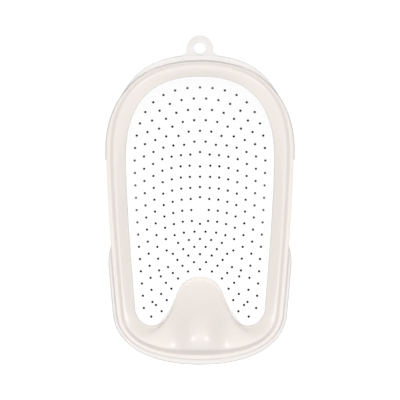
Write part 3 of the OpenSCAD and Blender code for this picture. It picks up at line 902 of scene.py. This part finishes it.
def base_section(st):
    """The base's closed section: wall, ledge, shadow groove, shelf for the frame, and flange."""
    y = st.rim_p[:, 1]
    at_head = head_share(y)
    ledge = ledge_at(y)
    wall = ledge - BASE_WALL
    flange = ledge - FLOOR_FLANGE
    low_z = PAD_T
    flange_z = low_z + FLANGE_T
    top_z = rim_z(y) - LIP_DROP - REST_GAP
    shelf_p = st.rim_at(-(SCREW_IN + BOSS_R))
    shelf_z = rim_z(shelf_p[:, 1]) - LIP_DROP - REST_GAP
    rows = []

    def row(out, z):
        p = st.rim_at(np.broadcast_to(out, y.shape))
        rows.append(np.column_stack([p, np.broadcast_to(z, y.shape)]))

    row(ledge - WALL_FOOT, low_z)
    row(ledge - WALL_FOOT_MID, low_z + WALL_FOOT_MID)
    row(ledge, low_z + WALL_FOOT)
    edge_round = LEDGE_ROUND + (LEDGE_ROUND_HEAD - LEDGE_ROUND) * at_head
    edge_round = np.minimum(edge_round, LEDGE_ROUND_MOST * ledge)
    round_deep = LEDGE_ROUND_DEEP * edge_round
    wall_top = top_z - round_deep
    for v in np.linspace(0, 1, WALL_STEPS + 1)[1:-1]:
        row(ledge, low_z + WALL_FOOT + (wall_top - low_z - WALL_FOOT) * v)
    for a in np.linspace(0, math.pi / 2, ROUND_STEPS + 1):
        row(ledge - edge_round * (1 - math.cos(a)), top_z - round_deep * (1 - math.sin(a)))
    # A shadow groove runs beside the frame's edge at the head
    at_corner = np.exp(-((y - RIM_HEAD_Y + HEAD_CORNER_IN) / HEAD_CORNER_RUN) ** 2)
    wide = np.minimum(SHADOW_W + CORNER_W * at_corner, SHADOW_MOST * ledge)
    wide = wide * (SHADOW_W_LEFT + (1 - SHADOW_W_LEFT) * at_head)
    deep = SHADOW_DEEP + CORNER_DEEP * at_corner
    deep = deep * (SHADOW_DEEP_LEFT + (1 - SHADOW_DEEP_LEFT) * at_head)
    row(wide + SHADOW_SLANT, top_z - CORNER_FALL * at_corner)
    row(wide, top_z - deep)
    row(SHADOW_IN, top_z - deep)
    row(0.0, top_z)
    for z in (0.0, -BASE_BREAK, -BASE_WALL):
        rows.append(np.column_stack([shelf_p, shelf_z + z]))
    roof_z = top_z - BASE_WALL - SHADOW_FLOOR * at_head - CORNER_DEEP * at_corner
    row(np.minimum(0, wall - ROOF_IN), roof_z)
    for a in np.linspace(math.pi / 2, 0, ROOF_STEPS + 1):
        row(wall - ROOF_ROUND * (1 - math.cos(a)), roof_z - ROOF_ROUND * (1 - math.sin(a)))
    row(wall, flange_z + FLANGE_ROUND)
    row(wall - BASE_BREAK, flange_z + BASE_BREAK)
    row(wall - FLANGE_ROUND, flange_z)
    row(flange + BASE_BREAK, flange_z)
    row(flange, flange_z - BASE_BREAK)
    row(flange, low_z + BASE_BREAK)
    row(flange + BASE_BREAK, low_z)
    return np.stack(rows, 1)


def tab_outline():
    """The hanging tab's outline, with fillets where it meets the ledge."""
    corner_x = TAB_R + TAB_FILLET
    corner_y = RIM_HEAD_Y + HEAD_LEDGE - TAB_SINK
    half = [(corner_x + TAB_SPREAD, RIM_HEAD_Y + TAB_ROOT), (corner_x + TAB_SPREAD, corner_y - TAB_STEP)]
    for a in np.radians(np.linspace(-90, -180, FILLET_STEPS + 1)):
        half.append((corner_x + TAB_FILLET * math.cos(a), corner_y + TAB_FILLET + TAB_FILLET * math.sin(a)))
    for a in np.radians(np.linspace(0, 90, TAB_STEPS + 1)):
        half.append((TAB_R * math.cos(a), TAB_Y + TAB_R * math.sin(a)))
    half = [p for i, p in enumerate(half) if i == 0 or math.dist(p, half[i - 1]) > 1e-4]
    return np.array(half + [(-x, y) for x, y in half[-2::-1]])


def tab_plate():
    """The hanging tab as a plate with rounded edges."""
    outline = tab_outline()
    before = outline - np.roll(outline, 1, axis=0)
    after = np.roll(outline, -1, axis=0) - outline
    normal = np.stack([before[:, 1] + after[:, 1], -before[:, 0] - after[:, 0]], 1)
    normal /= np.linalg.norm(normal, axis=1)[:, None]
    profile = [(TAB_EDGE, 0.0), (TAB_EDGE_MID, TAB_EDGE_MID), (0.0, TAB_EDGE), (0.0, TAB_T - TAB_EDGE),
               (TAB_EDGE_MID, TAB_T - TAB_EDGE_MID), (TAB_EDGE, TAB_T)]
    points, n = [], len(outline)
    for inset, z in profile:
        points += [(x, y, TAB_TOP_Z - TAB_T + z) for x, y in outline - normal * inset]
    loops = [range(r * n, (r + 1) * n) for r in range(len(profile))]
    return solid("tab", points, bands(loops) + [loops[0][::-1], loops[-1]])


def tab_hole():
    """The cutter of the hanging hole, which flares at both faces of the tab."""
    flare = [(TAB_HOLE_R + TAB_HOLE_FLARE, -OVERCUT)]
    for a in np.linspace(0, math.pi / 2, FLARE_STEPS + 1):
        flare.append((TAB_HOLE_R + TAB_HOLE_ROUND - TAB_HOLE_ROUND * math.sin(a),
                      TAB_HOLE_ROUND_DEEP - TAB_HOLE_ROUND_DEEP * math.cos(a)))
    mirror = [(r, TAB_T - z) for r, z in flare[::-1]]
    profile = [(0, -OVERCUT)] + flare + mirror + [(0, TAB_T + OVERCUT)]
    return lathe("hole", profile, (0, TAB_Y, TAB_TOP_Z - TAB_T), TAB_HOLE_SIDES)


def pad_places():
    """The two pairs of pads, on the middle of the floor flange."""
    places = {}
    for name, (curve, share) in PAD_SPOTS.items():
        out = ledge_at(spot_at(curve, share, 0.0)[1]) - (FLOOR_FLANGE + BASE_WALL) / 2
        x, y = spot_at(curve, share, out)
        places[name] = [(-x, y), (x, y)]
    return places


PADS = pad_places()


def side_windows():
    """The cutter of both side windows, as one prism across the base."""
    front_y, back_y = SHOULDER_Y - WINDOW_FRONT, SHOULDER_Y - WINDOW_BACK
    above = RIM_HEAD_Z + CUT_ABOVE
    outline = rounded_outline([(front_y - WINDOW_FRONT_SLANT, RAIL_H), (back_y + WINDOW_BACK_SLANT, RAIL_H),
                               (back_y, above), (front_y, above)], [*WINDOW_ROUND, 0, 0])
    return prism("window", outline, -RIM_WIDTH, RIM_WIDTH, "x")


def head_arch():
    """The cutter of the arch through the head wall."""
    half = ARCH_W / 2
    spring = ARCH_TOP - half
    arc = [(half * math.cos(a), spring + half * math.sin(a)) for a in np.linspace(0, math.pi, ARCH_STEPS + 1)]
    outline = rounded_outline([(-half, RAIL_H), (half, RAIL_H)] + arc, [ARCH_ROUND] * 2 + [0] * len(arc))
    return prism("arch", outline, SHOULDER_Y + ARCH_START, LENGTH, "y")


def build_base():
    """The base's moulding with its windows, arch, tab, bosses and bores."""
    shell = swept_ring("base_moulding", base_section(Stations(BASE_FINE)))
    combine(shell, side_windows(), "DIFFERENCE")
    combine(shell, head_arch(), "DIFFERENCE")
    combine(shell, tab_plate(), "UNION")
    boss = [(0, -BOSS_H), (BOSS_R - BOSS_BREAK, -BOSS_H), (BOSS_R, -BOSS_H + BOSS_BREAK), (BOSS_R, 0), (0, 0)]
    combine(shell, join_meshes("bosses", [lathe("boss", boss, p) for p in ALL_SCREWS]), "UNION")
    cutters = [cylinder("bore", SCREW_R + SCREW_GAP, -BOSS_H - OVERCUT, OVERCUT, p, BORE_SIDES)
               for p in ALL_SCREWS]
    for pair in PADS.values():
        cutters += [cylinder("stem_bore", STEM_R + STEM_GAP, 0, STEM_BORE_H, (x, y, 0)) for x, y in pair]
    cutters.append(tab_hole())
    combine(shell, join_meshes("bores", cutters), "DIFFERENCE")
    return shell


# -------- pads and screws

def build_pad(name, x, y):
    """A foot pad with a hollow sole and a stem that ends in a snap head."""
    z = PAD_T + FLANGE_T
    profile = PAD_SOLE + [(PAD_R + out, up) for out, up in PAD_RIM]
    profile += [(PAD_R, PAD_T - PAD_BREAK), (PAD_R - PAD_BREAK, PAD_T), (STEM_R, PAD_T), (STEM_R, z)]
    profile += [(STEM_R + out, z + up) for out, up in SNAP_HEAD]
    profile.append((0, z + SNAP_HEAD[-1][1]))
    return lathe(name, profile, (x, y, 0), PAD_SIDES)


def screw_profile():
    """A screw's profile: domed head, threaded shaft and blunt tip."""
    head_top = SCREW_LOW + SCREW_HEAD_H
    crest, root = SCREW_R - THREAD_GAP, SCREW_R - THREAD_ROOT
    shaft_top = PILOT_DEPTH - TIP_GAP
    profile = [(share * SCREW_HEAD_R, SCREW_LOW + up) for share, up in SCREW_DOME]
    profile += [(SCREW_HEAD_R, head_top), (crest, head_top)]
    z = head_top + THREAD_START
    while z < shaft_top - THREAD_END:
        profile += [(root, z - THREAD_HALF), (crest, z), (root, z + THREAD_HALF)]
        z += THREAD_PITCH
    return profile + [(SCREW_R - TIP_IN, shaft_top - TIP_H), (TIP_R, shaft_top), (0, shaft_top)]


def screw_slot(place, turn):
    """The cutter of one bar of a screw's cross slot."""
    c, s = math.cos(turn), math.sin(turn)
    bottom = place[2] + SCREW_LOW
    corners = [(u * SLOT_HALF[0], v * SLOT_HALF[1]) for u, v in ((-1, -1), (1, -1), (1, 1), (-1, 1))]
    points = [(place[0] + a * c - b * s, place[1] + a * s + b * c, bottom + up)
              for up in (-OVERCUT, SLOT_DEEP) for a, b in corners]
    return new_object("slot", points, SLOT_FACES)


def build_screws(name, places):
    """A pair of screws, put in from below."""
    made = []
    for place in places:
        screw = lathe(name, screw_profile(), place, SCREW_SIDES)
        for turn in (SLOT_TURN, SLOT_TURN + math.pi / 2):
            combine(screw, screw_slot(place, turn), "DIFFERENCE")
        made.append(screw)
    return join_meshes(name, made)


# -------- materials

CLOUD_SCALE = 9.0
CLOUD_DETAIL = 3.0
PATCH_SCALE = 34.0
PATCH_DETAIL = 4.0
PATCH_ENDS = {"From Min": 0.35, "From Max": 0.65}
GRAIN_SCALE = 1400.0
GRAIN_DETAIL = 2.0
GRAIN_DEEP = 0.0004
MOULDED_IOR = 1.49
DEPTH_RADIUS = (1.0, 0.8, 0.6)
DEPTH_SCALE = 0.002
STREAK_SCALE = 900.0
STREAK_DETAIL = 2.0
STEEL_LIGHT = (0.62, 0.63, 0.65, 1)
STEEL_DARK = (0.50, 0.51, 0.53, 1)
STEEL_ROUGH = {"To Min": 0.22, "To Max": 0.42}


def give(node, values):
    """Gives sockets of a node their values, by name."""
    for socket, value in values.items():
        node.inputs[socket].default_value = value


def noise(nodes, links, place, scale, detail):
    """A noise texture in the object's own coordinates."""
    texture = nodes.new("ShaderNodeTexNoise")
    give(texture, {"Scale": scale, "Detail": detail})
    links.new(place.outputs["Object"], texture.inputs["Vector"])
    return texture.outputs["Fac"]


def ranged(nodes, links, value, ends, soft=False):
    """A map range node that one output feeds; `ends` maps its sockets to numbers."""
    node = nodes.new("ShaderNodeMapRange")
    if soft:
        node.interpolation_type = "SMOOTHSTEP"
    give(node, ends)
    links.new(value, node.inputs["Value"])
    return node


def calculated(nodes, links, operation, *given):
    """The output of a math node; each of its inputs is a number or the output that feeds it."""
    node = nodes.new("ShaderNodeMath")
    node.operation = operation
    for index, value in enumerate(given):
        if isinstance(value, float):
            node.inputs[index].default_value = value
        else:
            links.new(value, node.inputs[index])
    return node.outputs[0]


def new_material(name, kind):
    """A material with one shader of the given kind, wired to the output."""
    material = bpy.data.materials.new(name)
    material.use_nodes = True
    tree = material.node_tree
    tree.nodes.clear()
    out = tree.nodes.new("ShaderNodeOutputMaterial")
    shader = tree.nodes.new(kind)
    tree.links.new(shader.outputs[0], out.inputs[0])
    return material, tree.nodes, tree.links, shader


def build_moulded_surface():
    """The surface that every moulding shares: faint clouds of colour, uneven gloss and a fine grain."""
    group = bpy.data.node_groups.new("moulded_surface", "ShaderNodeTree")
    sockets = [("Light", "INPUT", "Color"), ("Dark", "INPUT", "Color"), ("Rough Low", "INPUT", "Float"),
               ("Rough High", "INPUT", "Float"), ("Grain", "INPUT", "Float"), ("Colour", "OUTPUT", "Color"),
               ("Roughness", "OUTPUT", "Float"), ("Normal", "OUTPUT", "Vector")]
    for name, way, kind in sockets:
        group.interface.new_socket(name=name, in_out=way, socket_type="NodeSocket" + kind)
    nodes, links = group.nodes, group.links
    given = nodes.new("NodeGroupInput")
    result = nodes.new("NodeGroupOutput")
    place = nodes.new("ShaderNodeTexCoord")
    tint = nodes.new("ShaderNodeMix")
    tint.data_type = "RGBA"
    links.new(noise(nodes, links, place, CLOUD_SCALE, CLOUD_DETAIL), tint.inputs["Factor"])
    links.new(given.outputs["Light"], tint.inputs["A"])
    links.new(given.outputs["Dark"], tint.inputs["B"])
    links.new(tint.outputs["Result"], result.inputs["Colour"])
    gloss = ranged(nodes, links, noise(nodes, links, place, PATCH_SCALE, PATCH_DETAIL), PATCH_ENDS)
    links.new(given.outputs["Rough Low"], gloss.inputs["To Min"])
    links.new(given.outputs["Rough High"], gloss.inputs["To Max"])
    links.new(gloss.outputs["Result"], result.inputs["Roughness"])
    bump = nodes.new("ShaderNodeBump")
    give(bump, {"Distance": GRAIN_DEEP})
    links.new(given.outputs["Grain"], bump.inputs["Strength"])
    links.new(noise(nodes, links, place, GRAIN_SCALE, GRAIN_DETAIL), bump.inputs["Height"])
    links.new(bump.outputs["Normal"], result.inputs["Normal"])
    return group


def plastic(surface, name, light, dark, rough, grain, subsurface):
    """A moulded material: the shared surface with this material's own values."""
    material, nodes, links, shader = new_material(name, "ShaderNodeBsdfPrincipled")
    moulded = nodes.new("ShaderNodeGroup")
    moulded.node_tree = surface
    give(moulded, {"Light": (*light, 1), "Dark": (*dark, 1), "Rough Low": rough[0],
                   "Rough High": rough[1], "Grain": grain})
    links.new(moulded.outputs["Colour"], shader.inputs["Base Color"])
    links.new(moulded.outputs["Roughness"], shader.inputs["Roughness"])
    links.new(moulded.outputs["Normal"], shader.inputs["Normal"])
    give(shader, {"IOR": MOULDED_IOR, "Subsurface Weight": subsurface,
                  "Subsurface Radius": DEPTH_RADIUS, "Subsurface Scale": DEPTH_SCALE})
    return material


def steel():
    """Plain stainless steel with uneven tone and gloss."""
    material, nodes, links, shader = new_material("screw_steel", "ShaderNodeBsdfPrincipled")
    place = nodes.new("ShaderNodeTexCoord")
    streak = noise(nodes, links, place, STREAK_SCALE, STREAK_DETAIL)
    tint = nodes.new("ShaderNodeMix")
    tint.data_type = "RGBA"
    give(tint, {"A": STEEL_LIGHT, "B": STEEL_DARK})
    links.new(streak, tint.inputs["Factor"])
    links.new(tint.outputs["Result"], shader.inputs["Base Color"])
    rough = ranged(nodes, links, streak, STEEL_ROUGH)
    links.new(rough.outputs["Result"], shader.inputs["Roughness"])
    give(shader, {"Metallic": 1.0})
    return material


# -------- stage, light and camera, in metres

# Sky: brighter upward, with a soft bright patch overhead and a slight tilt towards the foot
SKY_LOW = 0.44
SKY_HIGH = 0.77
SKY_POWER = 2.0
SKY_TILT = -0.10
OVERHEAD = 0.74
OVERHEAD_ENDS = {"From Min": 0.88, "From Max": 0.99, "To Max": OVERHEAD}

# The floor reads as white to the camera, and keeps its real tone in the light that it throws back; under the
# part the camera sees painted shade, darker where the part covers more of the floor
FLOOR_HALF = 6.0
FLOOR_TONE = 0.62
FLOOR_SEEN = 1.5
# Painted shade: the share of the floor's white that is left where the part covers the floor most
FLOOR_PAINTED_SHADE = 0.04
PAINTED_SHADE_SAMPLES = 16
PAINTED_SHADE_REACH = 0.35
PAINTED_SHADE_ENDS = {"From Min": 0.24, "From Max": 0.42, "To Min": FLOOR_PAINTED_SHADE}

SOFTBOX_AT = (1.55, -0.35, 2.6)
SOFTBOX_TARGET = (0, -0.24, 0.1)
SOFTBOX_SIZE = (0.6, 0.7)
SOFTBOX_POWER = 20
CAMERA_AT = (0.0, 0.0047, 5.0)
CAMERA_LENS = 249.2
CAMERA_SENSOR = 36.0
CAMERA_REACH = 50.0


def build_sky():
    """The light from all round; the camera sees plain white instead."""
    world = bpy.data.worlds.new("studio")
    world.use_nodes = True
    nodes, links = world.node_tree.nodes, world.node_tree.links
    background = nodes["Background"]
    give(background, {"Color": (1, 1, 1, 1)})
    way = nodes.new("ShaderNodeTexCoord")
    parts = nodes.new("ShaderNodeSeparateXYZ")
    links.new(way.outputs["Generated"], parts.inputs["Vector"])
    up = calculated(nodes, links, "MAXIMUM", parts.outputs["Z"], 0.0)
    steep = calculated(nodes, links, "POWER", up, SKY_POWER)
    sky = ranged(nodes, links, steep, {"To Min": SKY_LOW, "To Max": SKY_HIGH})
    overhead = ranged(nodes, links, up, OVERHEAD_ENDS, soft=True)
    total = calculated(nodes, links, "ADD", sky.outputs["Result"], overhead.outputs["Result"])
    lean = calculated(nodes, links, "MULTIPLY_ADD", parts.outputs["Y"], SKY_TILT, 1.0)
    leaning = calculated(nodes, links, "MULTIPLY", total, lean)
    rays = nodes.new("ShaderNodeLightPath")
    shown = nodes.new("ShaderNodeMix")
    links.new(rays.outputs["Is Camera Ray"], shown.inputs["Factor"])
    links.new(leaning, shown.inputs["A"])
    give(shown, {"B": 1.0})
    links.new(shown.outputs["Result"], background.inputs["Strength"])
    bpy.context.scene.world = world


def floor_paper():
    """White paper to the camera, with painted shade where the part stands over it."""
    material, nodes, links, paper = new_material("floor_paper", "ShaderNodeBsdfDiffuse")
    rays = nodes.new("ShaderNodeLightPath")
    seen = ranged(nodes, links, rays.outputs["Is Camera Ray"], {"To Min": FLOOR_TONE})
    # Painted shade: ambient occlusion darkens the floor colour that the camera sees, most under the part
    cover = nodes.new("ShaderNodeAmbientOcclusion")
    cover.samples = PAINTED_SHADE_SAMPLES
    give(cover, {"Distance": PAINTED_SHADE_REACH})
    painted_shade_factor = ranged(nodes, links, cover.outputs["AO"], PAINTED_SHADE_ENDS, soft=True)
    bright = calculated(nodes, links, "MULTIPLY", painted_shade_factor.outputs["Result"], FLOOR_SEEN)
    links.new(bright, seen.inputs["To Max"])
    links.new(seen.outputs["Result"], paper.inputs["Color"])
    return material


def build_floor():
    """The floor that the part stands on."""
    mesh = bpy.data.meshes.new("floor")
    s = FLOOR_HALF
    mesh.from_pydata([(-s, -s, 0), (s, -s, 0), (s, s, 0), (-s, s, 0)], [], [[0, 1, 2, 3]])
    floor = in_scene("floor", mesh)
    mesh.materials.append(floor_paper())


def add_softbox(side):
    """A large lamp on one side of the foot end."""
    data = bpy.data.lights.new("softbox", "AREA")
    data.shape = "RECTANGLE"
    data.size, data.size_y = SOFTBOX_SIZE
    data.energy = SOFTBOX_POWER
    x, y, z = SOFTBOX_AT
    place = Vector((side * x, y, z))
    light = in_scene("softbox", data)
    light.location = place
    light.rotation_euler = (Vector(SOFTBOX_TARGET) - place).to_track_quat("-Z", "Y").to_euler()


def build_camera():
    """A camera straight above, looking down, with the head end up."""
    data = bpy.data.cameras.new("camera")
    data.sensor_width = CAMERA_SENSOR
    data.lens = CAMERA_LENS
    data.clip_end = CAMERA_REACH
    camera = in_scene("camera", data)
    camera.location = CAMERA_AT
    bpy.context.scene.camera = camera


# -------- the scene

build_sky()
build_floor()
for side in (-1, 1):
    add_softbox(side)
build_camera()
bpy.context.scene.view_settings.view_transform = "Standard"

moulded_surface = build_moulded_surface()
frame_plastic = plastic(moulded_surface, "frame_plastic", (0.836, 0.787, 0.746), (0.822, 0.773, 0.732),
                        rough=(0.28, 0.31), grain=0.04, subsurface=0.06)
base_plastic = plastic(moulded_surface, "base_plastic", (0.827, 0.80, 0.785), (0.812, 0.788, 0.772),
                       rough=(0.30, 0.40), grain=0.04, subsurface=0.06)
panel_rubber = plastic(moulded_surface, "soft_panel_rubber", (0.965, 0.965, 0.965), (0.95, 0.95, 0.95),
                       rough=(0.55, 0.7), grain=0.10, subsurface=0.0)
pad_rubber = plastic(moulded_surface, "pad_rubber", (0.30, 0.30, 0.31), (0.26, 0.26, 0.27),
                     rough=(0.6, 0.75), grain=0.15, subsurface=0.0)
screw_steel = steel()

finish_piece(build_frame(), frame_plastic, ["seat_frame"])
finish_piece(build_panel(), panel_rubber, ["soft_panel"])
finish_piece(build_base(), base_plastic, ["base_shell"])
for end, pair in PADS.items():
    for side, (x, y) in zip(("left", "right"), pair):
        pad = build_pad(f"{end}_{side}_pad", x, y)
        finish_piece(pad, pad_rubber, [f"{end}_{side}_foot_pad"])
for place, pair in SCREWS.items():
    finish_piece(build_screws(f"{place}_screw_pair", pair), screw_steel, [f"{place}_screws"])
